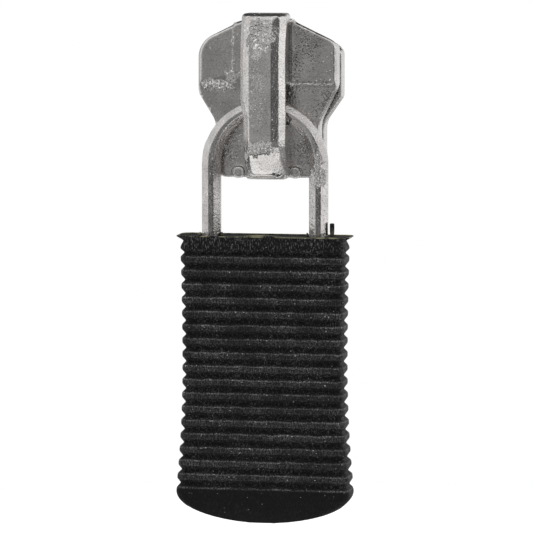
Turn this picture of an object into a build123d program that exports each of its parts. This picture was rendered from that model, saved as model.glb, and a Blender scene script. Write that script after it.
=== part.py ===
from build123d import *
import os

# Zipper slider with an automatic lock and a rubber pull, about size 10.
# Millimetres. The slider hangs on a vertical chain: X across, +Z to its wide front end,
# -Y out of its face. The origin is the middle of the channel that the chain runs through.

# ---- driving dimensions: body ----
front_z = 8.5  # front edge of the upper plate
rear_z = -8.65  # rear edge of both plates
front_half = 1.5  # half of the short straight front edge
shoulder_half = 7.35  # half width over the shoulders
shoulder_z = 5.75  # corner where the slanted front edge meets the side
waist_z = 1.0  # where the side starts to turn in
rear_half = 5.5  # half width of the parallel rear part
rear_start_z = -2.7  # where the parallel rear part begins
left_corner = 2.6  # radius of the left shoulder, which is rounder
right_corner = 1.2  # radius of the right shoulder
waist_out_round = 1.4
waist_in_round = 2.5
rear_corner = 1.2
lower_setback = 0.8  # the lower plate is shorter at the front
plate = 1.2  # thickness of each plate
front_step = 0.18  # the front part of the upper plate stands this much proud
step_rear_z = 0.7  # foot of the ramp up to the front part
step_front_z = 1.5  # top of the ramp
channel = 3.4  # gap between the plates, for the teeth
tape_slot = 1.2  # gap between the flanges, for the tape
flange_wall = 1.05
flange_front_z = 5.0  # the flanges end here, which opens the two front mouths
edge_round = 0.35

# guide post between the plates, which splits the chain
post_front_half = 2.3
post_mid_half = 2.5
post_mid_z = 5.6
post_tip_half = 0.55
post_tip_z = 0.4

# ---- driving dimensions: cap ----
cap_half = 2.35
cap_front_z = 8.7
cap_rear_z = -8.6
cap_height = 4.6  # above the plate
cap_nose_z = 5.6  # where the top starts to fall towards the front
cap_nose_height = 3.9
cap_tail_z = -5.2  # where the top starts to fall towards the rear
cap_tail_height = 2.3
cap_bevel_across = 1.2
cap_bevel_down = 1.1
cap_wall = 0.85
roof_inner = 3.85  # height of the hollow inside
nose_inner = 3.2  # height of the hollow over the front post
hollow_front_z = 7.6
hollow_rear_z = -5.4
window_front_z = 1.4  # side windows for the crossbar of the pull
window_rear_z = -2.9
window_height = 2.75
cheek_width = 0.6  # low cheeks beside the front of the cap
cheek_height = 0.4
cheek_front_z = 7.3
lug_width = 1.15  # clinched lugs beside the rear of the cap
lug_length = 1.25
lug_height = 0.6

# ---- driving dimensions: lock ----
pivot_z = 5.2  # lever trunnion
pivot_height = 1.9
pivot_radius = 0.5
pivot_clearance = 0.05
trunnion_half = 1.3
saddle_half = 1.35
saddle_rear_z = 4.3
saddle_front_z = 6.1
post_block_front_z = 7.3
post_block_height = 3.0
lever_half = 0.95
lever_low = 2.15
lever_high = 2.85
lever_front_z = 5.6
claw_half = 0.7
claw_front_z = -3.4
claw_rear_z = -4.2
claw_reach = 0.7  # how far the claw stands in the channel
slot_half = 0.9
slot_front_z = -3.15
slot_rear_z = -4.75
leaf_half = 0.8
leaf_thick = 0.2
leaf_tip_z = 0.8

# ---- driving dimensions: pull ----
bar_z = -1.1  # crossbar of the pull, under the cap
bar_height = 1.25
bar_radius = 0.75
bar_half = 1.6
bail_half = 6.65
bail_leg = 1.95
bail_crown = 1.55  # width of the band at the top of the arch
bail_thick = 1.8
bail_chamfer = 0.35
arch_drop = 5.88  # from the crossbar down to the centre of the arch
leg_end_z = -19.0
anchor_half = 6.0  # flat anchor inside the rubber
anchor_thick = 1.2
anchor_end_z = -37.0
bond_hole = 1.7
bond_pitch = 6.0

grip_top_z = -14.5
grip_tip_z = -44.7
grip_thick = 4.5
grip_top_half = 8.85
grip_waist_half = 8.6
grip_waist_z = -28.0
grip_low_half = 9.3
grip_low_z = -41.5
lip_half = 9.2
lip_height = 0.5
first_groove_z = -16.3
rib_pitch = 1.432
rib_count = 17
rib_depth = 0.38
rib_rise = 0.42  # length of the upper slope of a rib
rib_flat = 0.48  # length of its crest
tip_round = 0.7

face_y = channel / 2 + plate  # distance of the plate's outer face from the origin
slack = 0.1  # cutters run this far past a face


def front_view(sketch, height):
    """A sketch of X and Z, placed this far in front of the origin."""
    return Plane.XZ.offset(height) * sketch


def block(half_x, z_low, z_high, h_low, h_high):
    """A box centred across the slider, with heights measured from the plate's outer face."""
    middle = Pos(0, -face_y - (h_low + h_high) / 2, (z_low + z_high) / 2)
    return middle * Box(2 * half_x, h_high - h_low, z_high - z_low)


def side_profile(points, half_x):
    """A profile of (z, height above the plate), drawn out to both sides."""
    outline = [(-face_y - height, z) for z, height in points]
    return extrude(Plane.YZ * make_face(Polyline(*outline, close=True)), amount=half_x, both=True)


def cross_bore(radius, z, height, half_x):
    return Pos(0, -face_y - height, z) * Rot(0, 90, 0) * Cylinder(radius, 2 * half_x)


def plate_outline(setback):
    """Outline of a plate: slanted front, shoulders, waist and parallel rear."""
    right = [
        (front_half, front_z - setback),
        (shoulder_half, shoulder_z - setback),
        (shoulder_half, waist_z),
        (rear_half, rear_start_z),
        (rear_half, rear_z),
    ]
    left = [(-x, z) for x, z in reversed(right)]
    face = Sketch() + make_face(Polyline(*right, *left, close=True))

    def corners(x, z):
        return [v for v in face.vertices() if abs(abs(v.X) - x) < 0.01 and abs(v.Y - z) < 0.01]

    rounds = [
        (rear_half, rear_z, rear_corner, rear_corner),
        (rear_half, rear_start_z, waist_in_round, waist_in_round),
        (shoulder_half, waist_z, waist_out_round, waist_out_round),
        (shoulder_half, shoulder_z - setback, left_corner, right_corner),
    ]
    for x, z, left_radius, right_radius in rounds:
        face = fillet([v for v in corners(x, z) if v.X < 0], left_radius)
        face = fillet([v for v in corners(x, z) if v.X > 0], right_radius)
    return face


def flanges(outline):
    """Side walls on a plate's edge, open at the front mouths and at the rear."""
    ring = outline - offset(outline, amount=-flange_wall)
    front_cut = Pos(0, flange_front_z + 10) * Rectangle(40, 20)
    rear_cut = Pos(0, rear_z) * Rectangle(2 * (rear_half - flange_wall), 4)
    return ring - front_cut - rear_cut


def make_slider_body():
    upper_outline = plate_outline(0)
    lower_outline = plate_outline(lower_setback)
    wall = (channel - tape_slot) / 2

    upper = extrude(front_view(upper_outline, channel / 2), plate + front_step)
    lower = extrude(front_view(lower_outline, -channel / 2 - plate), plate)
    upper = chamfer(upper.faces().sort_by(Axis.Y)[0].outer_wire().edges(), edge_round)
    lower = chamfer(lower.faces().sort_by(Axis.Y)[-1].outer_wire().edges(), edge_round)
    above = front_step + slack
    ramp_cut = [(rear_z - 1, 0), (step_rear_z, 0), (step_front_z, front_step)]
    ramp_cut += [(step_front_z, above), (rear_z - 1, above)]
    upper -= side_profile(ramp_cut, shoulder_half + 1)

    body = upper + lower
    body += extrude(front_view(flanges(upper_outline), tape_slot / 2), wall)
    body += extrude(front_view(flanges(lower_outline), -channel / 2), wall)

    wedge = [
        (post_front_half, front_z - lower_setback),
        (post_mid_half, post_mid_z),
        (post_tip_half, post_tip_z),
    ]
    mirrored = [(-x, z) for x, z in reversed(wedge)]
    post = make_face(Polyline(*wedge, *mirrored, close=True))
    body += extrude(front_view(post, -channel / 2), channel)

    # saddle and block that carry the lever and the leaf spring
    body += block(saddle_half, saddle_rear_z, saddle_front_z, 0, pivot_height)
    body += block(saddle_half, saddle_front_z, post_block_front_z, 0, post_block_height)
    body -= cross_bore(pivot_radius + pivot_clearance, pivot_z, pivot_height, saddle_half + 1)

    # cheeks at the front of the cap and lugs at its rear
    for side in (-1, 1):
        cheek_x = side * (cap_half + cheek_width / 2)
        body += Pos(cheek_x, 0, 0) * block(
            cheek_width / 2, window_front_z, cheek_front_z, 0, cheek_height
        )
        lug_x = side * (cap_half + lug_width / 2)
        lug = Pos(lug_x, 0, 0) * block(lug_width / 2, rear_z, rear_z + lug_length, 0, lug_height)
        lug = fillet(lug.faces().sort_by(Axis.Y)[0].edges(), edge_round)
        body += lug

    body -= block(slot_half, slot_rear_z, slot_front_z, -plate - slack, slack)
    return body


def make_crown_cap(slider_body):
    outer = side_profile(
        [
            (cap_front_z, 0),
            (cap_front_z, cap_nose_height - 0.6),
            (cap_front_z - 0.5, cap_nose_height),
            (cap_nose_z, cap_height),
            (cap_tail_z, cap_height),
            (cap_rear_z + 0.4, cap_tail_height),
            (cap_rear_z, cap_tail_height - 0.4),
            (cap_rear_z, 0),
        ],
        cap_half,
    )
    top_edges = [
        e for e in outer.edges()
        if abs(abs(e.center().X) - cap_half) < 0.01 and e.center().Y < -face_y - cap_tail_height
    ]
    outer = chamfer(top_edges, cap_bevel_down, cap_bevel_across)
    hollow = side_profile(
        [
            (hollow_front_z, -slack),
            (hollow_front_z, nose_inner),
            (cap_nose_z - 0.2, nose_inner),
            (cap_nose_z - 0.6, roof_inner),
            (hollow_rear_z + 0.7, roof_inner),
            (hollow_rear_z, nose_inner),
            (hollow_rear_z, -slack),
        ],
        cap_half - cap_wall,
    )
    windows = block(cap_half + 1, window_rear_z, window_front_z, -slack, window_height)
    return outer - hollow - windows - slider_body


def make_lock_lever():
    arm = side_profile(
        [
            (lever_front_z, lever_low),
            (lever_front_z, lever_high),
            (claw_rear_z, lever_high),
            (claw_rear_z, lever_low),
        ],
        lever_half,
    )
    claw_tip = -plate - claw_reach
    claw = side_profile(
        [
            (claw_front_z, lever_high),
            (claw_front_z, claw_tip + 0.5),
            (claw_front_z - 0.25, claw_tip),
            (claw_rear_z + 0.15, claw_tip),
            (claw_rear_z, claw_tip + 0.5),
            (claw_rear_z, lever_high),
        ],
        claw_half,
    )
    trunnion = cross_bore(pivot_radius, pivot_z, pivot_height, trunnion_half)
    return arm + claw + trunnion


def make_lock_spring():
    """Leaf clamped between the front block and the cap, resting on the lever near its middle."""
    seat = post_block_height
    front = post_block_front_z - 0.1
    rear = saddle_front_z - 0.2
    return side_profile(
        [
            (front, seat),
            (front, seat + leaf_thick),
            (rear, seat + leaf_thick),
            (leaf_tip_z + 0.5, lever_high + leaf_thick),
            (leaf_tip_z, lever_high + leaf_thick + 0.15),
            (leaf_tip_z, lever_high + 0.15),
            (leaf_tip_z + 0.5, lever_high),
            (rear, seat),
        ],
        leaf_half,
    )


def make_pull_bail():
    """Arch, two legs and the flat anchor that the rubber is moulded on."""
    centre_z = bar_z - arch_drop
    rise_out = arch_drop + bail_crown / 2
    rise_in = arch_drop - bail_crown / 2
    leg_middle = (centre_z + leg_end_z) / 2
    leg_length = centre_z - leg_end_z
    inner_half = bail_half - bail_leg
    outer = Pos(0, centre_z) * Ellipse(bail_half, rise_out) + Pos(0, leg_middle) * Rectangle(
        2 * bail_half, leg_length
    )
    inner = Pos(0, centre_z) * Ellipse(inner_half, rise_in) + Pos(0, leg_middle) * Rectangle(
        2 * inner_half, leg_length
    )
    lower_half = Pos(0, leg_end_z - 10) * Rectangle(40, 20)
    band = outer - inner - lower_half
    middle = face_y + bar_height
    bail = extrude(front_view(band, middle - bail_thick / 2), bail_thick)
    rims = [
        e for e in bail.edges()
        if abs(abs(e.center().Y + middle) - bail_thick / 2) < 0.01
    ]
    bail = chamfer([e for e in rims if e.center().Z > leg_end_z + 0.1], bail_chamfer)
    bail -= Pos(0, -middle, bar_z) * Box(2 * bar_half, 4, 3)
    bail += cross_bore(bar_radius, bar_z, bar_height, bar_half + 0.15)

    anchor_top = leg_end_z + 2.0
    anchor = Pos(0, (anchor_top + anchor_end_z) / 2) * RectangleRounded(
        2 * anchor_half, anchor_top - anchor_end_z, 1.0
    )
    for row in range(3):
        anchor -= Pos(0, anchor_top - 4.0 - row * bond_pitch) * Circle(bond_hole)
    bail += extrude(front_view(anchor, middle - anchor_thick / 2), anchor_thick)
    return bail


def rib_profile(half_at):
    """Right-hand edge of the ribbed grip, from the lip down to the start of the tip."""
    points = [(half_at(grip_top_z) + lip_half - grip_top_half, grip_top_z)]
    points.append((half_at(grip_top_z) - 0.05, grip_top_z - lip_height))
    points.append((half_at(first_groove_z), first_groove_z + rib_rise))
    for rib in range(rib_count):
        groove = first_groove_z - rib * rib_pitch
        points.append((half_at(groove) - rib_depth, groove))
        points.append((half_at(groove), groove - rib_rise))
        points.append((half_at(groove), groove - rib_rise - rib_flat))
    last_groove = first_groove_z - rib_count * rib_pitch
    points.append((half_at(last_groove) - rib_depth, last_groove))
    points.append((half_at(last_groove), last_groove - rib_rise))
    points.append((half_at(grip_low_z), grip_low_z))
    return points


def grip_half(z):
    """Half width of the grip over its ribs: narrow at the waist, wider at both ends."""
    if z > grip_waist_z:
        share = (z - grip_waist_z) / (grip_top_z - grip_waist_z)
        return grip_waist_half + (grip_top_half - grip_waist_half) * share**2
    share = (grip_waist_z - z) / (grip_waist_z - grip_low_z)
    return grip_waist_half + (grip_low_half - grip_waist_half) * share**2


def make_pull_grip(pull_bail):
    middle = face_y + bar_height
    right = rib_profile(grip_half)
    left = [(-x, z) for x, z in reversed(right)]
    tip_arc = ThreePointArc(right[-1], (0, grip_tip_z), left[0])
    front = make_face(Polyline(*left, *right) + tip_arc)
    front_solid = extrude(front_view(front, middle - 5), 10)

    near = rib_profile(lambda z: grip_thick / 2)
    near[0] = (grip_thick / 2, grip_top_z)
    near.append((grip_thick / 2, grip_tip_z + tip_round))
    near.append((grip_thick / 2 - tip_round, grip_tip_z - slack))
    far = [(-y, z) for y, z in reversed(near)]
    side = Pos(-middle, 0) * make_face(Polyline(*near, *far, close=True))
    side_solid = extrude(Plane.YZ * side, amount=12, both=True)
    return (front_solid & side_solid) - pull_bail


slider_body = make_slider_body()
crown_cap = make_crown_cap(slider_body)
lock_lever = make_lock_lever()
lock_spring = make_lock_spring()
pull_bail = make_pull_bail()
pull_grip = make_pull_grip(pull_bail)

os.makedirs("parts", exist_ok=True)
export_step(slider_body, "parts/slider_body.step")
export_step(crown_cap, "parts/crown_cap.step")
export_step(lock_lever, "parts/lock_lever.step")
export_step(lock_spring, "parts/lock_spring.step")
export_step(pull_bail, "parts/pull_bail.step")
export_step(pull_grip, "parts/pull_grip.step")
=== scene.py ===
import bpy
import math
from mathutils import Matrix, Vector


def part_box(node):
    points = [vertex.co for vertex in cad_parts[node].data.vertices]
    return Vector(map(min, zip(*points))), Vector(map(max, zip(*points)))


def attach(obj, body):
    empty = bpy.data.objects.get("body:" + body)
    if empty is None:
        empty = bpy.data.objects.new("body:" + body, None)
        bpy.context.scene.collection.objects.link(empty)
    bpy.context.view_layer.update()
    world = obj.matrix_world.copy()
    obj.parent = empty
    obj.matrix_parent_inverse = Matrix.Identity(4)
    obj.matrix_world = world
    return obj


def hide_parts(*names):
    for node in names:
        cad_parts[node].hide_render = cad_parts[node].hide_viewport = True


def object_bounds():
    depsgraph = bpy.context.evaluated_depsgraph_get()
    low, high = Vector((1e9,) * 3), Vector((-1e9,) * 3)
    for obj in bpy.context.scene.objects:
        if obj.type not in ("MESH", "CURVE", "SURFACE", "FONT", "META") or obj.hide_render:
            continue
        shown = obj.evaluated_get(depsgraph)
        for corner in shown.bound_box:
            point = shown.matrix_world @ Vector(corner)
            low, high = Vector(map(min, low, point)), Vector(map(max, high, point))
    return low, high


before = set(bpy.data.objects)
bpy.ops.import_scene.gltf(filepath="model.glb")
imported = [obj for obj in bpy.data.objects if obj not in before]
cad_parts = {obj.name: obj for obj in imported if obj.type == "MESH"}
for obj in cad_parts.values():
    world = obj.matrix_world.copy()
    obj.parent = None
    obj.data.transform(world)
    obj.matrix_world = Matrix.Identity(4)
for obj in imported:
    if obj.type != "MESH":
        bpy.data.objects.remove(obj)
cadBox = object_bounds()
print("frame loaded")


def boxInMm(node):  # pieces are modelled in millimetres and shrunk to metres when finished
    low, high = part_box(node)
    return Vector(low) * 1000, Vector(high) * 1000


bodyLow, bodyHigh = boxInMm("slider_body")
capLow, capHigh = boxInMm("crown_cap")
bailLow, bailHigh = boxInMm("pull_bail")
gripLow, gripHigh = boxInMm("pull_grip")
faceY = -bodyHigh.y  # outer face of the upper plate; heights above it count towards -Y
barY = (bailLow.y + bailHigh.y) / 2
close = 0.01  # mm; a point this near to a place counts as being there


def onlyThis(piece):
    bpy.ops.object.select_all(action="DESELECT")
    piece.select_set(True)
    bpy.context.view_layer.objects.active = piece


def finishEdit():
    bpy.ops.object.mode_set(mode="OBJECT")


def pick(piece, kind, wanted):  # opens the piece with only what is wanted selected
    onlyThis(piece)
    bpy.ops.object.mode_set(mode="EDIT")
    bpy.ops.mesh.select_mode(type=kind)
    bpy.ops.mesh.select_all(action="DESELECT")
    finishEdit()
    mesh = piece.data
    if kind == "VERT":
        for point in mesh.vertices:
            point.select = wanted(point.co)
    if kind == "EDGE":
        for edge in mesh.edges:
            start, end = (mesh.vertices[i].co for i in edge.vertices)
            edge.select = wanted(start, end)
    if kind == "FACE":
        for face in mesh.polygons:
            face.select = wanted(face.center, face.normal)
    bpy.ops.object.mode_set(mode="EDIT")


def addBlock(name, low, high):
    middle = (Vector(low) + Vector(high)) / 2
    bpy.ops.object.select_all(action="DESELECT")
    bpy.ops.mesh.primitive_cube_add(size=1, location=middle)
    piece = bpy.context.object
    piece.name = name
    piece.scale = Vector(high) - Vector(low)
    bpy.ops.object.transform_apply(location=True, rotation=True, scale=True)
    return piece


def sliceAt(piece, place, normal):
    pick(piece, "FACE", lambda centre, facing: True)
    bpy.ops.mesh.bisect(plane_co=place, plane_no=normal)
    finishEdit()


def stretchRow(piece, z, across):
    pick(piece, "VERT", lambda p: abs(p.z - z) < close)
    bpy.ops.transform.resize(value=(across, 1, 1), center_override=(0, 0, z))
    finishEdit()


def movePoints(piece, wanted, by):
    pick(piece, "VERT", wanted)
    bpy.ops.transform.translate(value=by)
    finishEdit()


def roundCorner(piece, x, z, cut, steps=8):  # rounds an edge that runs from front to back
    def there(p):
        return abs(p.x - x) < 2 * close and abs(p.z - z) < 2 * close

    pick(piece, "EDGE", lambda start, end: there(start) and there(end))
    bpy.ops.mesh.bevel(offset=cut, segments=steps, affect="EDGES", clamp_overlap=False)
    finishEdit()


def softenRim(piece, facing, width, steps=3):  # bevels the outline of the faces that look this way
    pick(piece, "FACE", facing)
    bpy.ops.mesh.region_to_loop()
    bpy.ops.mesh.bevel(offset=width, segments=steps, affect="EDGES")
    finishEdit()


def cutAway(piece, low, high):
    cutter = addBlock("cutter", low, high)
    onlyThis(piece)
    cut = piece.modifiers.new("cut", "BOOLEAN")
    cut.operation = "DIFFERENCE"
    cut.object = cutter
    bpy.ops.object.modifier_apply(modifier=cut.name)
    bpy.data.objects.remove(cutter)


def joinInto(piece, others):
    onlyThis(piece)
    for other in others:
        other.select_set(True)
    bpy.ops.object.join()


def castSkin(piece, grain, passes):  # one skin over everything, its edges soft as on a casting
    onlyThis(piece)
    skin = piece.modifiers.new("skin", "REMESH")
    skin.mode = "VOXEL"
    skin.voxel_size = grain
    bpy.ops.object.modifier_apply(modifier=skin.name)
    soften = piece.modifiers.new("soften", "SMOOTH")
    soften.factor = 0.5
    soften.iterations = passes
    bpy.ops.object.modifier_apply(modifier=soften.name)
    bpy.ops.object.shade_smooth()


def handOver(piece, node, body, material):  # to metres, and into the frame
    onlyThis(piece)
    piece.scale = (0.001, 0.001, 0.001)
    bpy.ops.object.transform_apply(location=True, rotation=True, scale=True)
    piece.data.materials.clear()
    piece.data.materials.append(material)
    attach(piece, body)
    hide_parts(node)
    print(piece.name, "finished with", len(piece.data.polygons), "faces")


bodyShape = {
    "frontHalf": 1.5,
    "shoulderHalf": bodyHigh.x,
    "rearHalf": 5.5,
    "shoulderZ": 5.75,
    # where the sides start to turn in, left and right, and where they are parallel again
    "upperWaist": (0.3, 1.0, -2.7),
    "lowerWaist": (-0.3, -0.2, -2.9),
    "leftShoulderCut": 1.65,  # how far each corner's rounding reaches along its sides
    "rightShoulderCut": 0.75,
    "waistCut": 0.35,
    "rearStartCut": 0.6,
    "rearCut": 1.2,
    "plate": 1.2,
    "lowerSetback": 0.8,
    "flangeWall": 1.05,
    "flangeHeight": 1.1,
    "flangeFrontZ": 5.0,
    "flangeInner": 4.3,
    "frontCut": 0.4,
    "rim": 0.26,
    "stepHeight": 0.22,
    "rightStep": 0.14,
    "stepRearZ": 0.7,
    "stepFrontZ": 1.5,
    "stepMiddleX": 1.2,
    "wedgeX": -2.6,  # on the left the ramp widens towards the cap
    "wedgeRise": 1.1,
    # x beside the cap, foot x, height at the cap, rear z, front z, how far each end slopes
    "leftCheek": (-2.0, -3.6, 0.36, 2.2, 7.9, 0.6, 0.3),
    "rightCheek": (2.3, 3.0, 0.4, 0.9, 8.2, 0.35, 0.5),
    "sunk": 0.2,  # how far the added blocks reach into the plate
    "footSunk": 0.05,
    # the guide post between the channel's two mouths
    "postHalf": 2.5,
    "postSunk": 0.6,
    "postRearZ": 0.4,
    "postRearHalf": 0.6,
    "postWideZ": 5.6,
    "postFrontHalf": 2.3,
    "postCuts": (0.5, 0.4, 0.35),  # rounding of its widest, rear and front corners
    # the blocks hidden under the cap: half width, height, rear z, front z
    "saddle": (1.35, 1.3, 4.3, 6.1),
    "springBlock": (1.35, 3.0, 6.1, 7.3),
    "clawSlot": (0.9, -4.75, -3.15),  # half width, rear z, front z
    "lugInner": 2.4,
    "lugOuter": 3.6,
    "lugHeight": 0.5,
    "lugSetback": 0.04,
    "lugSunk": 0.3,
    "lugRound": 0.45,
    "lugRim": 0.15,
    "grain": 0.12,
    "smoothing": 6,
}


def outlinePlate(name, lowY, highY, innerY, towards, setback, waist):
    s = bodyShape
    leftWaistZ, rightWaistZ, rearStartZ = waist
    front = bodyHigh.z - setback
    shoulder = s["shoulderZ"] - setback
    wide = s["shoulderHalf"]
    piece = addBlock(name, (-wide, lowY, bodyLow.z), (wide, highY, front))
    for z in (shoulder, leftWaistZ, rightWaistZ, rearStartZ):
        sliceAt(piece, (0, 0, z), (0, 0, 1))
    stretchRow(piece, front, s["frontHalf"] / wide)
    stretchRow(piece, rearStartZ, s["rearHalf"] / wide)
    stretchRow(piece, bodyLow.z, s["rearHalf"] / wide)
    share = (rightWaistZ - leftWaistZ) / (rightWaistZ - rearStartZ)
    slanted = (share * (s["rearHalf"] - wide), 0, 0)
    movePoints(piece, lambda p: p.x > 0 and abs(p.z - leftWaistZ) < 0.01, slanted)

    # walls on the plate's edge that hold the chain in
    pick(piece, "FACE", lambda centre, facing: abs(centre.y - innerY) < 0.01)
    bpy.ops.mesh.inset(thickness=s["flangeWall"])
    finishEdit()
    pick(
        piece, "FACE",
        lambda c, facing: abs(c.y - innerY) < close and abs(c.x) > s["flangeInner"]
        and c.z < s["flangeFrontZ"],
    )
    lift = {"value": (0, towards * s["flangeHeight"], 0)}
    bpy.ops.mesh.extrude_region_move(TRANSFORM_OT_translate=lift)
    finishEdit()

    for side, shoulderCut, waistZ in (
        (-1, s["leftShoulderCut"], leftWaistZ), (1, s["rightShoulderCut"], rightWaistZ)
    ):
        roundCorner(piece, side * wide, shoulder, shoulderCut, 12)
        roundCorner(piece, side * wide, waistZ, s["waistCut"])
        roundCorner(piece, side * s["rearHalf"], rearStartZ, s["rearStartCut"])
        roundCorner(piece, side * s["rearHalf"], bodyLow.z, s["rearCut"])
        roundCorner(piece, side * s["frontHalf"], front, s["frontCut"])
    return piece


def raiseFront(piece):  # the front of the upper plate stands a little proud, behind a ramp
    s = bodyShape
    sliceAt(piece, (0, 0, s["stepRearZ"]), (0, 0, 1))
    sliceAt(piece, (0, 0, s["stepFrontZ"]), (0, 0, 1))
    for x in (s["wedgeX"], s["stepMiddleX"]):
        sliceAt(piece, (x, 0, 0), (1, 0, 0))

    def raised(p):
        return p.y < faceY + 0.01 and p.z > s["stepFrontZ"] - 0.01

    movePoints(piece, raised, (0, -s["stepHeight"], 0))
    movePoints(piece, lambda p: raised(p) and p.x > 0, (0, s["stepHeight"] - s["rightStep"], 0))

    def wedgeCorner(p):
        return (
            abs(p.x - s["wedgeX"]) < close and abs(p.z - s["stepFrontZ"]) < close
            and p.y < faceY
        )

    movePoints(piece, wedgeCorner, (0, 0, s["wedgeRise"]))


def addCheek(rootX, footX, height, rearZ, frontZ, rearSlope, frontSlope):
    sunk, footSunk = bodyShape["sunk"], bodyShape["footSunk"]
    low, high = sorted((rootX, footX))
    cheek = addBlock("cheek", (low, faceY - height, rearZ), (high, faceY + sunk, frontZ))
    footDown = (0, height + footSunk, 0)
    movePoints(cheek, lambda p: abs(p.x - footX) < close and p.y < faceY, footDown)

    def top(p):
        return p.y < faceY + sunk / 2

    movePoints(cheek, lambda p: p.z < rearZ + close and top(p), (0, 0, rearSlope))
    movePoints(cheek, lambda p: p.z > frontZ - close and top(p), (0, 0, -frontSlope))
    return cheek


def addPost():
    s = bodyShape
    wide, rear, widest = s["postHalf"], s["postRearZ"], s["postWideZ"]
    front = bodyHigh.z - s["lowerSetback"]
    outer = faceY + s["postSunk"]
    post = addBlock("guidePost", (-wide, outer, rear), (wide, -outer, front))
    sliceAt(post, (0, 0, widest), (0, 0, 1))
    stretchRow(post, rear, s["postRearHalf"] / wide)
    stretchRow(post, front, s["postFrontHalf"] / wide)
    widestCut, rearCut, frontCut = s["postCuts"]
    for side in (-1, 1):
        roundCorner(post, side * wide, widest, widestCut)
        roundCorner(post, side * s["postRearHalf"], rear, rearCut)
        roundCorner(post, side * s["postFrontHalf"], front, frontCut)
    return post


def addUnderCap(name):
    halfWide, height, rearZ, frontZ = bodyShape[name]
    low = (-halfWide, faceY - height, rearZ)
    return addBlock(name, low, (halfWide, faceY + bodyShape["sunk"], frontZ))


def addLug(side):
    s = bodyShape
    left, right = sorted((side * s["lugInner"], side * s["lugOuter"]))
    rear = bodyLow.z + s["lugSetback"]
    front = rear + s["lugOuter"] - s["lugInner"]
    low = (left, faceY - s["lugHeight"], rear)
    lug = addBlock("lug", low, (right, faceY + s["lugSunk"], front))
    for x in (left, right):
        for z in (rear, front):
            roundCorner(lug, x, z, s["lugRound"], 5)
    softenRim(lug, lambda centre, facing: facing.y < -0.9, s["lugRim"], 2)
    return lug


def makeBody():
    s = bodyShape
    inner = faceY + s["plate"]
    upper = outlinePlate("sliderBody", faceY, inner, inner, 1, 0, s["upperWaist"])
    softenRim(upper, lambda centre, facing: facing.y < -0.9, s["rim"])
    raiseFront(upper)
    setback = s["lowerSetback"]
    lower = outlinePlate("lowerPlate", -inner, -faceY, -inner, -1, setback, s["lowerWaist"])
    softenRim(lower, lambda centre, facing: facing.y > 0.9, s["rim"])
    extras = [
        lower, addPost(), addUnderCap("saddle"), addUnderCap("springBlock"),
        addCheek(*s["leftCheek"]), addCheek(*s["rightCheek"]), addLug(-1), addLug(1),
    ]
    joinInto(upper, extras)
    castSkin(upper, s["grain"], s["smoothing"])
    halfWide, rear, front = s["clawSlot"]
    cutAway(upper, (-halfWide, faceY - 0.5, rear), (halfWide, inner + 0.4, front))
    return upper


capShape = {
    # place along the cap and height of its crown there, front to rear
    "rows": [
        (capHigh.z, 3.52), (7.2, 3.98), (6.2, 4.3), (5.4, 4.48), (4.7, 4.58), (4.0, 4.6),
        (-4.5, 4.6), (-5.1, 4.5), (-5.7, 4.24), (-6.6, 3.72), (capLow.z, 2.5),
    ],
    "left": -2.25,
    "right": 2.5,
    # two facets run round the crown, narrower at the ends: across, down, how far they lean to
    # the left and how much longer their inner edge is made
    "outerFacet": (0.52, 0.75, -0.05, 1.033),
    "innerFacet": (0.7, 0.5, -0.07, 1.052),
    "cornerCut": 0.4,
    # from here on the middle ring is lifted at the front, and the outer ring at the rear
    "noseRim": (7.95, 8.45, 0.38),
    "tailRim": (-8.1, -8.5, 0.95),
    "leftTaper": 0.33,  # the left wall is slimmer behind the bail window
    "taperRearZ": -2.2,
    "taperFrontZ": -0.2,
    # cut out from below, the last one right across: half width, height, rear z, front z
    "hollows": [(1.5, 3.85, -5.0, 5.3), (1.5, 2.9, 5.0, 7.6), (4, 2.75, -2.9, 1.4)],
    "grain": 0.07,
    "smoothing": 3,
}


def crownDrop(z):  # how far the crown lies below its highest part at this place
    rows = capShape["rows"]
    for (frontZ, frontHeight), (rearZ, rearHeight) in zip(rows, rows[1:]):
        if z >= rearZ:
            share = (frontZ - z) / (frontZ - rearZ)
            return max(h for z, h in rows) - frontHeight - share * (rearHeight - frontHeight)
    return max(h for z, h in rows) - rows[-1][1]


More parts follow.
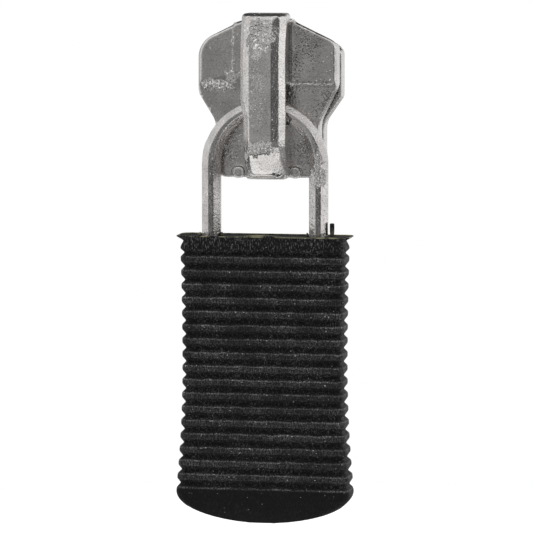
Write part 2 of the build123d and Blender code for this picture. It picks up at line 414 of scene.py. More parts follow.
def makeCap():
    s = capShape
    facets = (s["outerFacet"], s["innerFacet"])
    topY = capLow.y + sum(down for across, down, lean, reach in facets)
    cap = addBlock("crownCap", (s["left"], topY, capLow.z), (s["right"], faceY, capHigh.z))
    pick(cap, "FACE", lambda centre, facing: facing.y < -0.5)
    for across, down, lean, reach in facets:
        bpy.ops.mesh.inset(thickness=across)
        bpy.ops.transform.translate(value=(lean, -down, 0))
        bpy.ops.transform.resize(value=(1, 1, reach), center_override=(0, 0, 0))
    finishEdit()
    for end in (capLow.z, capHigh.z):  # the corners are rounded, through both facets
        pick(
            cap, "EDGE",
            lambda a, b: min(a.z / end, b.z / end) > 0.9 and abs(a.y - b.y) > 0.3
            and abs(a.x - b.x) < 0.9,
        )
        bpy.ops.mesh.bevel(offset=s["cornerCut"], segments=5, affect="EDGES", clamp_overlap=False)
        finishEdit()
    for z, height in s["rows"][1:-1]:
        sliceAt(cap, (0, 0, z), (0, 0, 1))
    for z in (s["taperRearZ"], s["taperFrontZ"]):
        sliceAt(cap, (0, 0, z), (0, 0, 1))
    for level in sorted({round(vertex.co.z, 3) for vertex in cap.data.vertices}):
        movePoints(
            cap, lambda p: round(p.z, 3) == level and p.y < faceY - 1, (0, crownDrop(level), 0)
        )
    middleDown = s["innerFacet"][1]
    for (startZ, endZ, lift), ringY in (
        (s["noseRim"], capLow.y + middleDown), (s["tailRim"], topY)
    ):
        for level in sorted({round(vertex.co.z, 3) for vertex in cap.data.vertices}):
            share = (level - startZ) / (endZ - startZ)
            if share > 0:
                movePoints(
                    cap,
                    lambda p: round(p.z, 3) == level
                    and abs(p.y - ringY - crownDrop(level)) < 2 * close,
                    (0, -lift * min(share, 1), 0),
                )
    movePoints(
        cap, lambda p: p.x < s["left"] + 0.5 and p.z < s["taperRearZ"] + close,
        (s["leftTaper"], 0, 0),
    )
    for halfWide, height, rear, front in s["hollows"]:
        cutAway(cap, (-halfWide, faceY - height, rear), (halfWide, faceY + 0.1, front))
    castSkin(cap, s["grain"], s["smoothing"])
    return cap


bailShape = {
    "legWidth": 1.95,
    "legEndZ": -17.5,  # inside the rubber
    "archSteps": 48,
    # how far outward and how far ahead of the leg's middle, round the front of the left leg; the
    # right leg has the same section, not its mirror image, and the arch changes over
    "front": [(0.975, -0.35), (0.22, -0.9), (-0.3, -0.69), (-0.975, 0.05)],
    "back": [(-0.975, 0.4), (-0.4, 0.9), (0.4, 0.9), (0.975, 0.4)],
    "crownScale": 0.8,  # the arch is slimmer where it passes under the cap
    "ledge": 0.06,  # small step on the outside of each leg, where the arch starts
    "ledgeAngle": 22,
    "grain": 0.06,
    "smoothing": 2,
}


def makeBail():
    s = bailShape
    legX = bailHigh.x - s["legWidth"] / 2
    archZ = bailHigh.z - bailHigh.x
    bpy.ops.object.select_all(action="DESELECT")
    bpy.ops.mesh.primitive_circle_add(
        vertices=8, radius=s["legWidth"], fill_type="NGON", location=(-legX, barY, s["legEndZ"]),
    )
    bail = bpy.context.object
    bail.name = "pullBail"
    bpy.ops.object.transform_apply(location=True, rotation=True, scale=True)
    section = s["front"] + s["back"]
    for place, (out, ahead) in zip([v.co.copy() for v in bail.data.vertices], section):
        target = Vector((-legX - out, barY + ahead, place.z))
        movePoints(bail, lambda p: (p - place).length < 0.001, target - place)
    pick(bail, "FACE", lambda centre, facing: True)
    up = {"value": (0, 0, archZ - s["legEndZ"])}
    bpy.ops.mesh.extrude_region_move(TRANSFORM_OT_translate=up)
    bpy.ops.mesh.spin(steps=s["archSteps"], angle=-math.pi, center=(0, barY, archZ), axis=(0, 1, 0))
    down = {"value": (0, 0, s["legEndZ"] - archZ)}
    bpy.ops.mesh.extrude_region_move(TRANSFORM_OT_translate=down)
    finishEdit()

    def changeOver(onLoop, spoke, share):
        middle = Vector((0, barY, archZ)) + spoke * legX
        for (out, ahead), (farOut, farAhead) in zip(s["front"], reversed(s["front"])):
            move = spoke * (-farOut - out) + Vector((0, farAhead - ahead, 0))

            def thisPoint(p):
                return (
                    onLoop(p) and abs((p - middle).dot(spoke) - out) < close
                    and abs(p.y - barY - ahead) < close
                )

            movePoints(bail, thisPoint, move * share)

    changeOver(lambda p: p.x > 0 and p.z < archZ + close, Vector((1, 0, 0)), 1)
    for step in range(1, s["archSteps"]):
        angle = math.pi * step / s["archSteps"]
        lean = math.degrees(min(angle, math.pi - angle))
        size = 1 + (s["crownScale"] - 1) * (1 - math.cos(2 * angle)) / 2
        spoke = Vector((-math.cos(angle), 0, math.sin(angle)))
        outside = Vector((0, barY, archZ)) + spoke * bailHigh.x

        def onLoop(p):
            out = Vector((p.x, 0, p.z - archZ))
            return p.z > archZ + close and out.normalized().dot(spoke) > 0.9999

        def outerSide(p):
            return onLoop(p) and (p - outside).dot(spoke) > -s["legWidth"] / 2

        changeOver(onLoop, spoke, step / s["archSteps"])
        pick(bail, "VERT", onLoop)
        bpy.ops.transform.resize(value=(size, size, size), center_override=outside)
        finishEdit()
        if lean > s["ledgeAngle"]:
            movePoints(bail, outerSide, -spoke * s["ledge"])
    pick(bail, "FACE", lambda centre, facing: True)
    bpy.ops.mesh.remove_doubles(threshold=0.001)
    bpy.ops.mesh.normals_make_consistent(inside=False)
    finishEdit()
    castSkin(bail, s["grain"], s["smoothing"])
    return bail


gripShape = {
    "topHalf": 8.82,
    "waistHalf": 8.58,
    "waistZ": -28.0,
    "lowHalf": gripHigh.x,
    "lowZ": -41.5,
    "cornerRound": 0.9,
    "firstGrooveZ": -16.3,
    "ribPitch": 1.432,
    "ribs": 17,
    "ribDepth": 0.38,
    "ribRise": 0.42,
    "ribFlat": 0.48,
    "soft": 0.045,  # half the length of the round on each rib corner
    "edge": 0.03,  # how much that round takes off
    "bandShoulder": (0.35, 0.1),  # up from the band's start, in from the top's width
    "neckHalf": 8.42,
    "lipHalf": 9.22,
    # how far below the top, how much wider than the neck or narrower than the lip, how much thinner
    "neckRows": [(0.62, 0.04, 0.03), (0.5, 0, 0.04)],
    "lipRows": [(0.2, 0.2, 0.02), (0.08, 0, 0), (0, 0.03, 0.03)],
    "dish": (0.22, 0.12, 0.1),  # the sunk top: its rim, its depth, a second ring inside
    "tipRows": 10,
    "tipHalf": 1.2,
    "tipThinner": 0.55,
    "startHeight": 0.05,
    "columns": 16,
    # small bits of moulding flash on the top: x, half width, height
    "flash": [(-6.95, 0.28, 0.3), (-4.6, 0.22, 0.35), (4.45, 0.25, 0.4), (6.5, 0.3, 0.2)],
    "mounds": [(-1.6, 0.16), (-0.4, 0.2), (1.2, 0.08), (-5.5, 0.05), (7.5, 0.06)],
    "nibX": 7.1,
    "nibRadius": 0.26,
    "nibHeight": 1.35,
    "nibRound": 0.12,
    "sunk": 0.3,  # how far flash and nib reach down into the top
    "flashDepth": (0.6, 0.9),  # ahead of and behind the middle
    "flashTaper": (0.3, 0.5),
    "moundReach": 0.6,
    "moundSpread": 0.9,
}


def gripHalf(z):
    s = gripShape
    if z > s["waistZ"]:
        share = (z - s["waistZ"]) / (gripHigh.z - s["waistZ"])
        return s["waistHalf"] + (s["topHalf"] - s["waistHalf"]) * share ** 2
    share = (s["waistZ"] - z) / (s["waistZ"] - s["lowZ"])
    return s["waistHalf"] + (s["lowHalf"] - s["waistHalf"]) * share ** 2


def gripRows():  # (z, half width, half thickness) from the tip up to the lip
    s = gripShape
    thick = (gripHigh.y - gripLow.y) / 2
    deep, edge = s["ribDepth"], s["edge"]
    rows = []
    for step in range(1, s["tipRows"] + 1):
        turn = math.pi / 2 * step / s["tipRows"]
        z = s["lowZ"] - (s["lowZ"] - gripLow.z) * math.cos(turn)
        across = s["lowHalf"] * math.sin(turn)
        thinner = s["tipThinner"] * math.cos(turn) ** 2
        rows.append((z, max(across, s["tipHalf"]), thick - thinner))
    for rib in range(s["ribs"], -1, -1):
        groove = s["firstGrooveZ"] - rib * s["ribPitch"]
        if rib < s["ribs"]:
            crestLow = groove - s["ribRise"] - s["ribFlat"]
            crestHigh = groove - s["ribRise"]
            rows += [
                (crestLow - s["soft"], gripHalf(crestLow) - edge, thick - edge),
                (crestLow + s["soft"], gripHalf(crestLow), thick),
                (crestHigh - s["soft"], gripHalf(crestHigh), thick),
                (crestHigh + s["soft"], gripHalf(crestHigh) - edge, thick - edge),
            ]
        else:
            rows += [
                (groove - s["ribRise"] - s["soft"], gripHalf(groove), thick),
                (groove - s["ribRise"] + s["soft"], gripHalf(groove) - edge, thick - edge),
            ]
        rows += [
            (groove - s["soft"], gripHalf(groove) - deep, thick - deep),
            (groove + s["soft"], gripHalf(groove) - deep, thick - deep),
        ]
    bandLow = s["firstGrooveZ"] + s["ribRise"]
    up, inward = s["bandShoulder"]
    rows += [
        (bandLow - s["soft"], gripHalf(bandLow) - edge, thick - edge),
        (bandLow + s["soft"], gripHalf(bandLow), thick),
        (bandLow + up, s["topHalf"] - inward, thick),
    ]
    for down, wider, thinner in s["neckRows"]:
        rows.append((gripHigh.z - down, s["neckHalf"] + wider, thick - thinner))
    for down, narrower, thinner in s["lipRows"]:
        rows.append((gripHigh.z - down, s["lipHalf"] - narrower, thick - thinner))
    return rows


def makeGrip():
    s = gripShape
    rows = gripRows()
    middleY = (gripLow.y + gripHigh.y) / 2
    wide = s["lowHalf"]
    thick = (gripHigh.y - gripLow.y) / 2
    low = (-wide, gripLow.y, gripLow.z)
    grip = addBlock("ribbedGrip", low, (wide, gripHigh.y, gripLow.z + s["startHeight"]))
    pick(grip, "EDGE", lambda a, b: abs(a.z - b.z) > close)
    bpy.ops.mesh.bevel(offset=s["cornerRound"], segments=4, affect="EDGES", clamp_overlap=False)
    finishEdit()

    # the start is squeezed to the tip's first row, then the top face grows up row by row
    z, across, deep = rows[0]
    pick(grip, "VERT", lambda p: True)
    size = (across / wide, deep / thick, 1)
    bpy.ops.transform.resize(value=size, center_override=(0, middleY, 0))
    finishEdit()
    pick(grip, "FACE", lambda centre, facing: facing.z > 0.9)
    now = (gripLow.z + s["startHeight"], across, deep)
    for row in rows[1:]:
        up = {"value": (0, 0, row[0] - now[0])}
        bpy.ops.mesh.extrude_region_move(TRANSFORM_OT_translate=up)
        size = (row[1] / now[1], row[2] / now[2], 1)
        bpy.ops.transform.resize(value=size, center_override=(0, middleY, row[0]))
        now = row
    rim, depth, ring = s["dish"]
    bpy.ops.mesh.inset(thickness=rim)
    bpy.ops.mesh.extrude_region_move(TRANSFORM_OT_translate={"value": (0, 0, -depth)})
    bpy.ops.mesh.inset(thickness=ring)
    finishEdit()
    for column in range(1, s["columns"]):
        x = -wide + 2 * wide * column / s["columns"]
        sliceAt(grip, (x, 0, 0), (1, 0, 0))

    for x, height in s["mounds"]:  # the front edge of the top is uneven
        pick(
            grip, "VERT",
            lambda p: p.z > gripHigh.z - 0.05 and p.y < gripLow.y + 0.3
            and abs(p.x - x) < s["moundReach"],
        )
        bpy.ops.transform.translate(
            value=(0, 0, height), use_proportional_edit=True,
            proportional_size=s["moundSpread"], use_proportional_connected=True,
        )
        finishEdit()

    extras = []
    ahead, behind = s["flashDepth"]
    for x, halfWide, height in s["flash"]:
        low = (x - halfWide, middleY - ahead, gripHigh.z - s["sunk"])
        flash = addBlock("flash", low, (x + halfWide, middleY + behind, gripHigh.z + height))
        pick(flash, "VERT", lambda p: p.z > gripHigh.z)
        bpy.ops.transform.resize(value=(*s["flashTaper"], 1), center_override=(x, middleY, 0))
        finishEdit()
        extras.append(flash)
    bpy.ops.object.select_all(action="DESELECT")
    bpy.ops.mesh.primitive_cylinder_add(
        vertices=12, radius=s["nibRadius"], depth=s["nibHeight"] + s["sunk"],
        location=(s["nibX"], middleY, gripHigh.z + (s["nibHeight"] - s["sunk"]) / 2),
    )
    nib = bpy.context.object
    bpy.ops.object.transform_apply(location=True, rotation=True, scale=True)
    softenRim(nib, lambda centre, facing: facing.z > 0.9, s["nibRound"])
    joinInto(grip, extras + [nib])

    onlyThis(grip)
    rounder = grip.modifiers.new("rounder", "SUBSURF")
    rounder.levels = rounder.render_levels = 1
    bpy.ops.object.modifier_apply(modifier=rounder.name)
    bpy.ops.object.shade_smooth()
    return grip


print("modelling")


def newMaterial(name):
    material = bpy.data.materials.new(name)
    material.use_nodes = True
    nodes = material.node_tree.nodes
    return material, nodes, material.node_tree.links, nodes["Principled BSDF"]


def newGroup(name, inputs, outputs):
    group = bpy.data.node_groups.new(name, "ShaderNodeTree")
    for label, kind, start in inputs:
        socket = group.interface.new_socket(label, in_out="INPUT", socket_type="NodeSocket" + kind)
        if start is not None:
            socket.default_value = start
    for label, kind in outputs:
        group.interface.new_socket(label, in_out="OUTPUT", socket_type="NodeSocket" + kind)
    return group, group.nodes.new("NodeGroupInput"), group.nodes.new("NodeGroupOutput")


def addNoise(tree, place, scale, detail=2.0, roughness=0.5):
    noise = tree.nodes.new("ShaderNodeTexNoise")
    noise.inputs["Detail"].default_value = detail
    noise.inputs["Roughness"].default_value = roughness
    if isinstance(scale, (int, float)):
        noise.inputs["Scale"].default_value = scale
    else:
        tree.links.new(scale, noise.inputs["Scale"])
    tree.links.new(place, noise.inputs["Vector"])
    return noise.outputs["Fac"]


def addRange(tree, value, fromLow, fromHigh, toLow=0.0, toHigh=1.0):
    span = tree.nodes.new("ShaderNodeMapRange")
    span.interpolation_type = "SMOOTHSTEP"
    for label, setting in (
        ("From Min", fromLow), ("From Max", fromHigh), ("To Min", toLow), ("To Max", toHigh)
    ):
        if isinstance(setting, (int, float)):
            span.inputs[label].default_value = setting
        else:
            tree.links.new(setting, span.inputs[label])
    tree.links.new(value, span.inputs["Value"])
    return span.outputs["Result"]


def addMath(tree, operation, first, second):
    step = tree.nodes.new("ShaderNodeMath")
    step.operation = operation
    for socket, setting in zip(step.inputs, (first, second)):
        if isinstance(setting, (int, float)):
            socket.default_value = setting
        else:
            tree.links.new(setting, socket)
    return step.outputs[0]


def addMix(tree, factor, first, second):
    mix = tree.nodes.new("ShaderNodeMix")
    mix.data_type = "RGBA"
    for label, setting in (("Factor", factor), ("A", first), ("B", second)):
        if hasattr(setting, "default_value") or hasattr(setting, "is_output"):
            tree.links.new(setting, mix.inputs[label])
        else:
            mix.inputs[label].default_value = setting
    return mix.outputs["Result"]


def makePatch():  # a soft round patch on a surface, 1 in the middle and 0 outside
    group, given, result = newGroup(
        "softPatch",
        [("Place", "Vector", None), ("Centre", "Vector", None), ("Reach", "Vector", (1, 1, 1))],
        [("Mask", "Float")],
    )
    away = group.nodes.new("ShaderNodeVectorMath")
    away.operation = "SUBTRACT"
    group.links.new(given.outputs["Place"], away.inputs[0])
    group.links.new(given.outputs["Centre"], away.inputs[1])
    share = group.nodes.new("ShaderNodeVectorMath")
    share.operation = "DIVIDE"
    group.links.new(away.outputs[0], share.inputs[0])
    group.links.new(given.outputs["Reach"], share.inputs[1])
    length = group.nodes.new("ShaderNodeVectorMath")
    length.operation = "LENGTH"
    group.links.new(share.outputs[0], length.inputs[0])
    ragged = addNoise(group, given.outputs["Place"], 1500, 3.0, 0.6)
    wander = addRange(group, ragged, 0.3, 0.7, -0.4, 0.4)
    reach = addMath(group, "ADD", length.outputs["Value"], wander)
    group.links.new(addRange(group, reach, 0.3, 1.0, 1.0, 0.0), result.inputs["Mask"])
    return group


def makeCastFinish():  # tumbled and plated casting: cloudy grain, pits, bright specks painted as glints, worn edges with a painted highlight, painted shade in the creases
    group, given, result = newGroup(
        "castFinish",
        [
            ("Place", "Vector", None),
            ("Edge", "Float", 0.5),
            ("Pits And Glints", "Float", 0.0),
            ("Pocked", "Float", 0.0),
            ("Metal", "Color", (0.5, 0.48, 0.47, 1)),
            ("Pit And Shade Colour", "Color", (0.16, 0.15, 0.145, 1)),
            ("Glint Colour", "Color", (0.95, 0.94, 0.93, 1)),
            ("Grain Scale", "Float", 7500.0),
            ("Polish", "Float", 0.2),
            ("Dullness", "Float", 0.38),
        ],
        [
            ("Colour", "Color"), ("Metallic", "Float"), ("Roughness", "Float"),
            ("Height", "Float"),
        ],
    )
    place, pitsAndGlints = given.outputs["Place"], given.outputs["Pits And Glints"]
    scale = given.outputs["Grain Scale"]
    grain = addNoise(group, place, scale, 3.0, 0.6)
    cloud = addNoise(group, place, 420, 3.0, 0.55)
    lumps = addNoise(group, place, addMath(group, "MULTIPLY", scale, 0.55), 1.0, 0.4)

    # pits and painted glint specks come out where the grain is extreme, more of them inside a
    # pitted patch
    pitStart = addMath(group, "ADD", addMath(group, "MULTIPLY", pitsAndGlints, 0.06), 0.35)
    pitStart = addMath(
        group, "ADD", pitStart, addMath(group, "MULTIPLY", given.outputs["Pocked"], 0.13)
    )
    pits = addRange(group, grain, addMath(group, "SUBTRACT", pitStart, 0.05), pitStart, 1.0, 0.0)
    # painted glints: where the lumps noise is high, the colour turns to the near-white speck colour
    glintStart = addMath(group, "ADD", addMath(group, "MULTIPLY", pitsAndGlints, -0.14), 0.73)
    glintSpecks = addRange(
        group, lumps, glintStart, addMath(group, "ADD", glintStart, 0.06), 0.0, 1.0
    )
    # worn edges: high pointiness marks the convex edges, which are painted near white as a
    # highlight as well as wear
    wornHighlight = addRange(group, given.outputs["Edge"], 0.508, 0.55)
    wornHighlight = addMath(
        group, "MULTIPLY", wornHighlight, addMath(group, "SUBTRACT", 1, given.outputs["Pocked"])
    )
    # painted shade: low pointiness marks the concave creases, which are darkened halfway to the pit
    # colour
    creaseShade = addRange(group, given.outputs["Edge"], 0.492, 0.44)

    colour = given.outputs["Metal"]
    shade = addRange(group, cloud, 0.3, 0.7, 0.85, 1.1)
    shade = addMath(group, "MULTIPLY", shade, addRange(group, grain, 0.25, 0.75, 0.8, 1.2))
    tint = group.nodes.new("ShaderNodeVectorMath")
    tint.operation = "SCALE"
    group.links.new(colour, tint.inputs[0])
    group.links.new(shade, tint.inputs["Scale"])
    pitAndShadeColour = given.outputs["Pit And Shade Colour"]
    colour = addMix(group, addMath(group, "MULTIPLY", pits, 0.9), tint.outputs[0], pitAndShadeColour)
    colour = addMix(group, addMath(group, "MULTIPLY", creaseShade, 0.5), colour, pitAndShadeColour)
    # painted highlight: glint specks and worn edges are mixed towards the near-white speck colour
    shine = addMath(group, "MAXIMUM", glintSpecks, addMath(group, "MULTIPLY", wornHighlight, 0.7))
    colour = addMix(group, shine, colour, given.outputs["Glint Colour"])
    group.links.new(colour, result.inputs["Colour"])
    # the painted glint specks and the painted highlight on worn edges glint from every side, so
    # they are not mirrors
    group.links.new(
        addMath(group, "SUBTRACT", 1, addMath(group, "MULTIPLY", shine, 0.85)),
        result.inputs["Metallic"],
    )

    dull = addMath(group, "MAXIMUM", addMath(group, "MULTIPLY", pitsAndGlints, 0.7), pits)
    dull = addMath(group, "MULTIPLY", dull, addRange(group, cloud, 0.25, 0.75, 0.6, 1.0))
    group.links.new(
        addRange(group, dull, 0.0, 1.0, given.outputs["Polish"], given.outputs["Dullness"]),
        result.inputs["Roughness"],
    )
    relief = addMath(group, "MULTIPLY", lumps, addRange(group, pitsAndGlints, 0.0, 1.0, 0.16, 1.0))
    fine = addMath(group, "MULTIPLY", grain, addRange(group, pitsAndGlints, 0.0, 1.0, 0.08, 0.6))
    group.links.new(addMath(group, "ADD", relief, fine), result.inputs["Height"])
    return group


softPatch = makePatch()
castFinish = makeCastFinish()


def castMetal(
    name, metal, pitAndGlintPatches, pocks=(), polish=0.2, dullness=0.38, grainScale=7500, relief=0.16
):
    material, nodes, links, shader = newMaterial(name)
    tree = material.node_tree
    coordinates = nodes.new("ShaderNodeTexCoord")
    shape = nodes.new("ShaderNodeNewGeometry")
    finish = nodes.new("ShaderNodeGroup")
    finish.node_tree = castFinish
    links.new(coordinates.outputs["Object"], finish.inputs["Place"])
    links.new(shape.outputs["Pointiness"], finish.inputs["Edge"])
    finish.inputs["Metal"].default_value = (*metal, 1)
    finish.inputs["Grain Scale"].default_value = grainScale
    finish.inputs["Polish"].default_value = polish
    finish.inputs["Dullness"].default_value = dullness
    # the pitted patches add pits and painted glint specks; the pocked ones add pits and take away
    # the painted edge highlight
    for label, spots in (("Pits And Glints", pitAndGlintPatches), ("Pocked", pocks)):
        mask = 0.0
        for centre, reach, strength in spots:  # in millimetres
            patch = nodes.new("ShaderNodeGroup")
            patch.node_tree = softPatch
            patch.inputs["Centre"].default_value = Vector(centre) / 1000
            patch.inputs["Reach"].default_value = Vector(reach) / 1000
            links.new(coordinates.outputs["Object"], patch.inputs["Place"])
            part = addMath(tree, "MULTIPLY", patch.outputs["Mask"], strength)
            mask = addMath(tree, "MAXIMUM", mask, part)
        if spots:
            links.new(mask, finish.inputs[label])
    bump = nodes.new("ShaderNodeBump")
    bump.inputs["Strength"].default_value = 1
    bump.inputs["Distance"].default_value = relief / 1000
    links.new(finish.outputs["Height"], bump.inputs["Height"])
    links.new(finish.outputs["Colour"], shader.inputs["Base Color"])
    links.new(finish.outputs["Metallic"], shader.inputs["Metallic"])
    links.new(finish.outputs["Roughness"], shader.inputs["Roughness"])
    links.new(bump.outputs["Normal"], shader.inputs["Normal"])
    return material


bodyMetal = castMetal(
    "bodyMetal", (0.56, 0.54, 0.525),
    [
        ((-5.0, -3, 1.2), (2.5, 2, 0.7), 1.6),
        ((-3.6, -3, 1.9), (1.1, 2, 0.8), 1.4),
        ((4.4, -3, -5.2), (1.3, 2, 3.0), 0.35),
        ((-3.6, -3, -5.0), (1.5, 2, 2.6), 0.4),
        ((-3.55, -3, 5.2), (0.22, 2, 3.4), 0.6),
    ],
    [
        ((4.1, -3, 5.3), (2.6, 2, 3.0), 0.9),
        ((3.0, -3, 3.5), (1.0, 2, 4.5), 1.0),
        ((4.6, -3, 1.1), (4.8, 2, 0.9), 0.7),
        ((6.4, -3, 0.2), (1.4, 2, 1.9), 1.0),
        ((5.4, -3, -1.4), (1.0, 2, 1.6), 0.8),
        ((4.2, -3, -5.5), (1.8, 2, 3.4), 0.8),
        ((-3.6, -3, -5.0), (1.6, 2, 2.8), 0.4),
    ],
)
capMetal = castMetal(
    "capMetal", (0.68, 0.66, 0.645),
    [
        ((-0.1, -7, 5.9), (1.35, 2, 2.0), 1.4),
        ((0, -7, -5.3), (1.8, 2.2, 0.9), 1.3),
        ((-0.1, -7, -7.0), (1.5, 2.2, 0.9), 0.2),
        ((-0.3, -7.5, 0.5), (1.1, 0.6, 5.0), 0.3),
    ],
    relief=0.22,
)
bailMetal = castMetal(
    "bailMetal", (0.6, 0.58, 0.57),
    [
        ((5.9, -4.6, -7.6), (0.6, 1.6, 2.3), 0.7),
        ((-5.5, -4.6, -9), (0.5, 1.6, 7.0), 0.25),
    ],
    [((-5.5, -4.6, -9), (0.6, 1.6, 7.0), 0.5)],
    polish=0.16,
)
steel = castMetal("springSteel", (0.42, 0.42, 0.43), [], polish=0.25, relief=0.02)


def makeRubberGrain():  # fine leathery grain with dust, and scuffs on the ridges that are also painted highlight lines
    group, given, result = newGroup(
        "rubberGrain",
        [
            ("Place", "Vector", None),
            ("Ridge Highlight", "Float", 0.0),
            ("Wrinkled", "Float", 1.0),
            ("Rubber", "Color", (0.0047, 0.0047, 0.005, 1)),
            ("Scuff Highlight Colour", "Color", (0.17, 0.17, 0.173, 1)),
            ("Dust Colour", "Color", (0.35, 0.35, 0.34, 1)),
            ("Grain Scale", "Float", 8000.0),
        ],
        [("Colour", "Color"), ("Roughness", "Float"), ("Height", "Float")],
    )
    place, scale = given.outputs["Place"], given.outputs["Grain Scale"]
    grain = addNoise(group, place, scale, 2.0, 0.6)
    cloud = addNoise(group, place, 300, 3.0, 0.6)
    drawn = group.nodes.new("ShaderNodeVectorMath")  # short wrinkles that run across the ribs
    drawn.operation = "MULTIPLY"
    drawn.inputs[1].default_value = (1, 1, 0.3)
    group.links.new(place, drawn.inputs[0])
    wrinkles = addNoise(group, drawn.outputs[0], scale, 2.0, 0.6)
    dots = addNoise(group, place, addMath(group, "MULTIPLY", scale, 0.75), 0.0, 0.5)
    ridgeHighlight = given.outputs["Ridge Highlight"]
    # painted highlight: the ridge lines are mixed towards the scuff colour, broken up by cloud and
    # grain
    rubbedHighlight = addMath(group, "MULTIPLY", ridgeHighlight, addRange(group, cloud, 0.35, 0.62, 0.4, 1.0))
    scuffHighlight = addMath(group, "MULTIPLY", rubbedHighlight, addRange(group, grain, 0.4, 0.66))
    colour = addMix(group, scuffHighlight, given.outputs["Rubber"], given.outputs["Scuff Highlight Colour"])
    lift = addMath(
        group, "MULTIPLY", addRange(group, cloud, 0.3, 0.7, 0.4, 1.0),
        addRange(group, wrinkles, 0.5, 0.68),
    )
    lift = addMath(group, "MULTIPLY", lift, given.outputs["Wrinkled"])
    colour = addMix(
        group, addMath(group, "MULTIPLY", lift, 0.42), colour, given.outputs["Scuff Highlight Colour"]
    )
    dustStart = addMath(group, "SUBTRACT", 0.84, addMath(group, "MULTIPLY", ridgeHighlight, 0.09))
    dustStart = addMath(group, "SUBTRACT", dustStart, addRange(group, cloud, 0.45, 0.7, 0.0, 0.05))
    dust = addRange(group, dots, dustStart, addMath(group, "ADD", dustStart, 0.05))
    colour = addMix(group, dust, colour, given.outputs["Dust Colour"])
    group.links.new(colour, result.inputs["Colour"])
    group.links.new(addRange(group, grain, 0.3, 0.7, 0.42, 0.62), result.inputs["Roughness"])
    height = addMath(group, "ADD", addMath(group, "MULTIPLY", grain, 0.6), wrinkles)
    group.links.new(height, result.inputs["Height"])
    return group


rubberGrain = makeRubberGrain()


rubberLook = {
    # in mm: where the ribs' wear and painted highlight lines fade out, at the smooth tip and at the
    # more wrinkled top band
    "tipFade": (gripShape["lowZ"] + 0.2, gripShape["lowZ"] + 0.5),
    "bandFade": (gripShape["firstGrooveZ"] - 0.1, gripShape["firstGrooveZ"] + 0.1),
    "relief": 0.12,
    "topSheen": (0.2, 0.19, 0.12, 1),
    "topSheenDepth": (0.12, 0.05),  # mm below the top, where it starts and where it is full
    "waver": 0.03,  # how far the rubbed, painted highlight lines stray, as a share of the rib pitch
}


def blackRubber():
    s = gripShape
    tipLow, tipHigh = (z / 1000 for z in rubberLook["tipFade"])
    bandLow, bandHigh = (z / 1000 for z in rubberLook["bandFade"])
    material, nodes, links, shader = newMaterial("blackRubber")
    tree = material.node_tree
    shader.inputs["Specular IOR Level"].default_value = 0.15
    coordinates = nodes.new("ShaderNodeTexCoord")
    finish = nodes.new("ShaderNodeGroup")
    finish.node_tree = rubberGrain
    links.new(coordinates.outputs["Object"], finish.inputs["Place"])

    # painted highlight lines, also standing for rubbed wear: both edges of each rib's crest, the
    # upper one brightest, and its middle a little
    parts = nodes.new("ShaderNodeSeparateXYZ")
    links.new(coordinates.outputs["Object"], parts.inputs[0])
    down = addMath(tree, "SUBTRACT", s["firstGrooveZ"] / 1000, parts.outputs["Z"])
    along = addMath(tree, "FRACT", addMath(tree, "DIVIDE", down, s["ribPitch"] / 1000), 0)
    ridgeHighlights = None
    stray = rubberLook["waver"]
    waver = addNoise(tree, coordinates.outputs["Object"], 900)
    waver = addRange(tree, waver, 0.3, 0.7, -stray, stray)
    along = addMath(tree, "ADD", along, waver)
    for edge, bright, reach in (
        (s["ribRise"], 1.0, 0.09), (s["ribRise"] + s["ribFlat"], 0.4, 0.09),
        (s["ribRise"] + s["ribFlat"] / 2, 0.3, 0.3),
    ):
        away = addMath(tree, "ABSOLUTE", addMath(tree, "SUBTRACT", along, edge / s["ribPitch"]), 0)
        line = addRange(tree, away, 0.02, reach, bright, 0.0)
        ridgeHighlights = line if ridgeHighlights is None else addMath(tree, "MAXIMUM", ridgeHighlights, line)
    ribsOnly = addRange(tree, parts.outputs["Z"], tipLow, tipHigh)
    belowBand = addRange(tree, parts.outputs["Z"], bandHigh, bandLow)
    ribsOnly = addMath(tree, "MULTIPLY", ribsOnly, belowBand)
    links.new(addMath(tree, "MULTIPLY", ridgeHighlights, ribsOnly), finish.inputs["Ridge Highlight"])
    wrinkled = addMath(
        tree, "ADD", addRange(tree, parts.outputs["Z"], tipLow, tipHigh, 0.15, 1.0),
        addRange(tree, parts.outputs["Z"], bandLow, bandHigh, 0.0, 0.8),
    )
    links.new(wrinkled, finish.inputs["Wrinkled"])
    bump = nodes.new("ShaderNodeBump")
    bump.inputs["Strength"].default_value = 1
    bump.inputs["Distance"].default_value = rubberLook["relief"] / 1000
    links.new(finish.outputs["Height"], bump.inputs["Height"])
    # painted light on the moulded top: an olive sheen, painted into its colour in blotches
    topLow, topHigh = ((gripHigh.z - depth) / 1000 for depth in rubberLook["topSheenDepth"])
    top = addRange(tree, parts.outputs["Z"], topLow, topHigh)
    blotches = addRange(tree, addNoise(tree, coordinates.outputs["Object"], 900), 0.4, 0.6)
    topSheen = addMath(tree, "MULTIPLY", top, blotches)
    colour = addMix(tree, topSheen, finish.outputs["Colour"], rubberLook["topSheen"])
    links.new(colour, shader.inputs["Base Color"])
    links.new(finish.outputs["Roughness"], shader.inputs["Roughness"])
    links.new(bump.outputs["Normal"], shader.inputs["Normal"])
    return material


rubber = blackRubber()

handOver(makeBody(), "slider_body", "root", bodyMetal)
handOver(makeCap(), "crown_cap", "root", capMetal)
handOver(makeBail(), "pull_bail", "pull", bailMetal)
handOver(makeGrip(), "pull_grip", "pull", rubber)
for node in ("lock_lever", "lock_spring"):
    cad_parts[node].data.materials.clear()
    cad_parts[node].data.materials.append(steel)

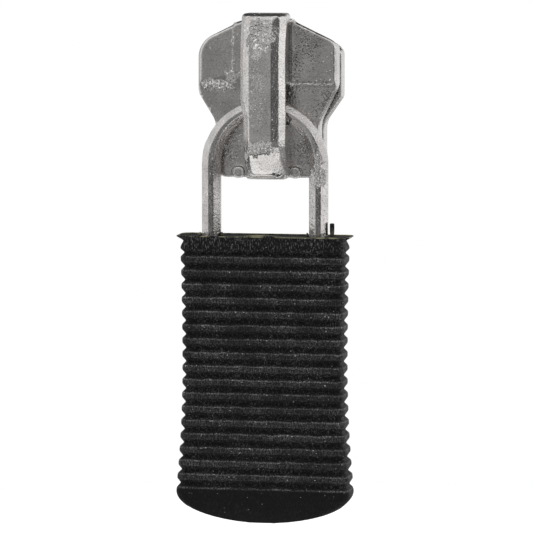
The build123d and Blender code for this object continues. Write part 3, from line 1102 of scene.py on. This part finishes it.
studio = {
    "aim": (0.00013, -0.004, -0.0178),
    "distance": 0.4,
    "azimuth": 10,
    "elevation": 5.5,
    "span": 0.0558,  # width of the view at the object
    "floorDrop": 0.012,
    "floorRadius": 0.1,
    "floorShade": 0.92,
    "overheadHeight": 0.35,
    "overheadSize": 0.4,
    "overheadPower": 2.2,
    # how bright the room is all round, by the angle from straight ahead, left negative
    "around": [
        (-180, 0.6), (-150, 0.35), (-120, 0.8), (-60, 0.95), (-42, 0.5), (-18, 0.37), (22, 0.37),
        (38, 0.1), (67, 0.07), (80, 1.1), (115, 1.1), (140, 0.8), (180, 0.6),
    ],
    # a dark ceiling, by the cosine of the angle from its middle
    "ceilingLow": 0.66,
    "ceilingHigh": 0.8,
    "ceilingLean": 35,  # degrees from overhead towards the back
    "ceiling": 0.05,
    # by the height of the direction, 1 straight up: the walls are lighter towards the top, dim
    # below eye level, and the ground is pale
    "upperGlow": 0.85,
    "upperRange": (0.42, 0.7),
    "below": 0.22,
    "belowRange": (-0.12, -0.3),
    "underneath": 1.1,
    "underneathRange": (-0.42, -0.75),
}


def makeFloor():
    s = studio
    bpy.ops.object.select_all(action="DESELECT")
    bpy.ops.mesh.primitive_circle_add(
        vertices=128, radius=s["floorRadius"], fill_type="NGON",
        location=(0, 0, cadBox[0][2] - s["floorDrop"]),
    )
    floor = bpy.context.object
    floor.name = "floor"
    material, nodes, links, shader = newMaterial("paleFloor")
    shader.inputs["Base Color"].default_value = (*[s["floorShade"]] * 3, 1)
    shader.inputs["Roughness"].default_value = 0.9
    floor.data.materials.append(material)
    floor.visible_glossy = False  # the metal reflects the room alone, so no floor edge shows in it


def makeRoom():  # a white sweep for the camera, uneven soft walls for everything else
    s = studio
    world = bpy.data.worlds.new("studio")
    bpy.context.scene.world = world
    world.use_nodes = True
    nodes, links = world.node_tree.nodes, world.node_tree.links
    walls = nodes["Background"]
    direction = nodes.new("ShaderNodeTexCoord")
    parts = nodes.new("ShaderNodeSeparateXYZ")
    links.new(direction.outputs["Generated"], parts.inputs[0])
    ahead = nodes.new("ShaderNodeMath")
    ahead.operation = "MULTIPLY"
    ahead.inputs[1].default_value = -1
    links.new(parts.outputs["Y"], ahead.inputs[0])
    angle = nodes.new("ShaderNodeMath")
    angle.operation = "ARCTAN2"
    links.new(parts.outputs["X"], angle.inputs[0])
    links.new(ahead.outputs[0], angle.inputs[1])
    turn = nodes.new("ShaderNodeMapRange")
    turn.inputs["From Min"].default_value = -math.pi
    turn.inputs["From Max"].default_value = math.pi
    links.new(angle.outputs[0], turn.inputs["Value"])
    ring = nodes.new("ShaderNodeValToRGB")
    stops = ring.color_ramp.elements
    for angleFromFront, light in s["around"]:
        place = (angleFromFront + 180) / 360
        stop = stops[0] if angleFromFront == -180 else stops.new(place)
        stop.position = place
        stop.color = (light, light, light, 1)
    links.new(turn.outputs["Result"], ring.inputs["Fac"])
    tree = world.node_tree
    glow = (s["upperGlow"], s["upperGlow"], s["upperGlow"], 1)
    dark = (s["ceiling"], s["ceiling"], s["ceiling"], 1)
    below = (s["below"], s["below"], s["below"], 1)
    pale = (s["underneath"], s["underneath"], s["underneath"], 1)
    height = parts.outputs["Z"]
    low = addMix(tree, addRange(tree, height, *s["belowRange"]), ring.outputs["Color"], below)
    low = addMix(tree, addRange(tree, height, *s["underneathRange"]), low, pale)
    high = addMix(tree, addRange(tree, height, *s["upperRange"]), low, glow)
    lean = math.radians(s["ceilingLean"])
    towards = nodes.new("ShaderNodeVectorMath")
    towards.operation = "DOT_PRODUCT"
    towards.inputs[1].default_value = (0, math.sin(lean), math.cos(lean))
    links.new(direction.outputs["Generated"], towards.inputs[0])
    lid = addRange(tree, towards.outputs["Value"], s["ceilingLow"], s["ceilingHigh"])
    links.new(addMix(tree, lid, high, dark), walls.inputs["Color"])
    sweep = nodes.new("ShaderNodeBackground")
    sweep.inputs["Color"].default_value = (1, 1, 1, 1)
    path = nodes.new("ShaderNodeLightPath")
    choose = nodes.new("ShaderNodeMixShader")
    links.new(path.outputs["Is Camera Ray"], choose.inputs["Fac"])
    links.new(walls.outputs[0], choose.inputs[1])
    links.new(sweep.outputs[0], choose.inputs[2])
    links.new(choose.outputs[0], nodes["World Output"].inputs["Surface"])

    bpy.ops.object.light_add(type="AREA", location=(0, 0, s["overheadHeight"]))
    overhead = bpy.context.object
    overhead.name = "overheadSoftbox"
    overhead.data.size = s["overheadSize"]
    overhead.data.energy = s["overheadPower"]
    overhead.visible_camera = False
    overhead.visible_glossy = False  # the metal does not reflect it


def makeCamera():
    s = studio
    turn, lift = math.radians(s["azimuth"]), math.radians(s["elevation"])
    level = math.cos(lift)
    back = Vector((math.sin(turn) * level, -math.cos(turn) * level, math.sin(lift)))
    bpy.ops.object.camera_add(location=Vector(s["aim"]) + back * s["distance"])
    camera = bpy.context.object
    camera.rotation_euler = (-back).to_track_quat("-Z", "Y").to_euler()
    camera.data.lens = camera.data.sensor_width * s["distance"] / s["span"]
    camera.data.clip_start = 0.01
    bpy.context.scene.camera = camera
    bpy.context.scene.view_settings.view_transform = "Standard"


makeFloor()
makeRoom()
makeCamera()
